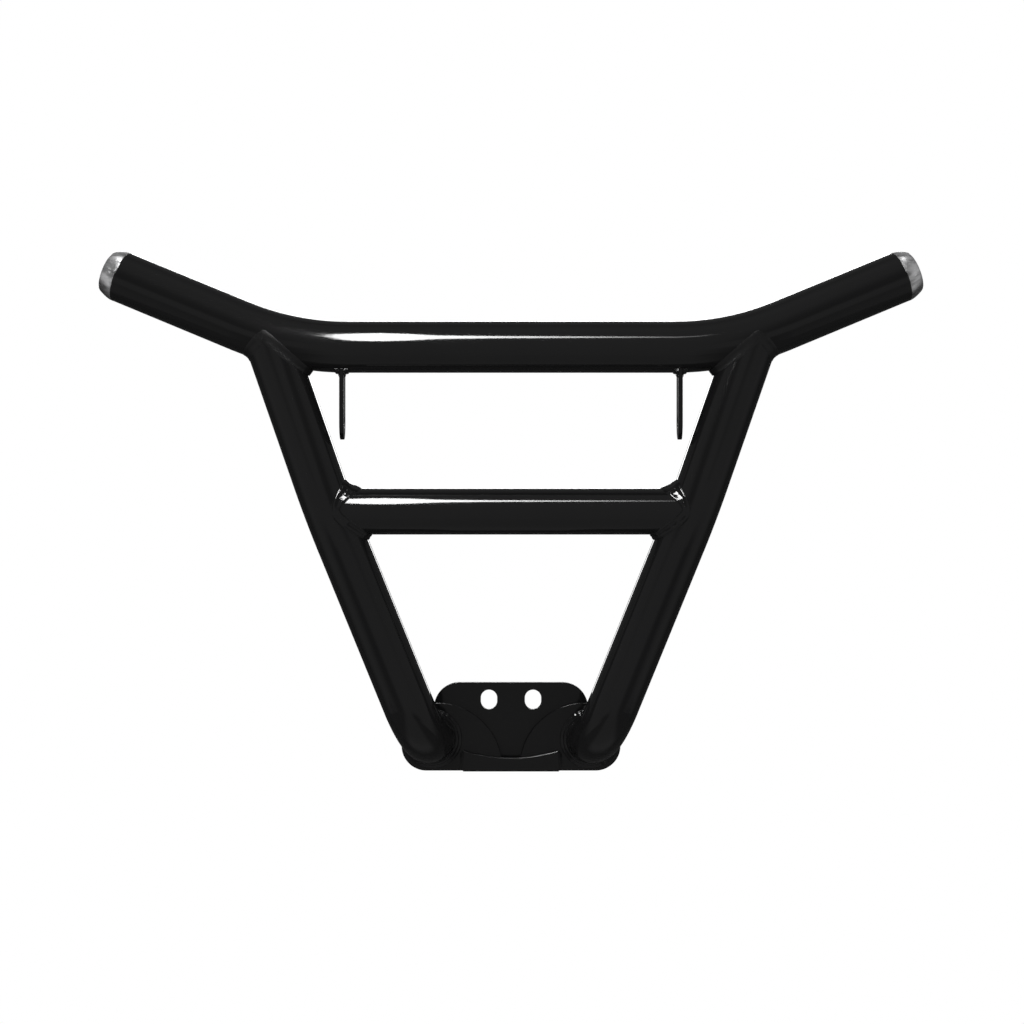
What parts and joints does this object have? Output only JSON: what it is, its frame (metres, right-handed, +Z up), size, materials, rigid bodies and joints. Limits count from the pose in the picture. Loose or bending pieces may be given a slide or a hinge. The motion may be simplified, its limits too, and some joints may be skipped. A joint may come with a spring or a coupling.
{
  "type": "atv front bumper",
  "caption": "Gloss black tubular front bumper for an all-terrain vehicle: swept-up top tube with bare turned caps, legs leaning in to a slotted mount plate.",
  "frame": {"origin": "midway between the two mounting slots, on the rear face of the mount plate, where it meets the vehicle's frame", "axes": "+Z up, +X to the right as seen from in front of the bumper, +Y towards the vehicle; the bumper's front faces -Y"},
  "size_m": [0.8104, 0.117, 0.5197],
  "materials": {
    "gloss_black": "gloss",
    "weld_black": "gloss",
    "bare_aluminium": "satin"
  },
  "bodies": {
    "root": {"top_tube": "gloss_black", "left_end_cap": "bare_aluminium", "right_end_cap": "bare_aluminium", "left_leg_tube": "gloss_black", "right_leg_tube": "gloss_black", "middle_cross_tube": "gloss_black", "left_upper_tab": "gloss_black", "right_upper_tab": "gloss_black", "mount_plate": "gloss_black", "left_foot_pad": "gloss_black", "right_foot_pad": "gloss_black", "lower_cross_plate": "gloss_black", "left_leg_top_weld": "weld_black", "right_leg_top_weld": "weld_black", "left_middle_weld": "weld_black", "right_middle_weld": "weld_black", "left_foot_weld": "weld_black", "right_foot_weld": "weld_black", "left_tab_weld_outer": "weld_black", "left_tab_weld_inner": "weld_black", "right_tab_weld_outer": "weld_black", "right_tab_weld_inner": "weld_black", "left_cross_plate_weld": "weld_black", "right_cross_plate_weld": "weld_black"}
  },
  "joints": []
}
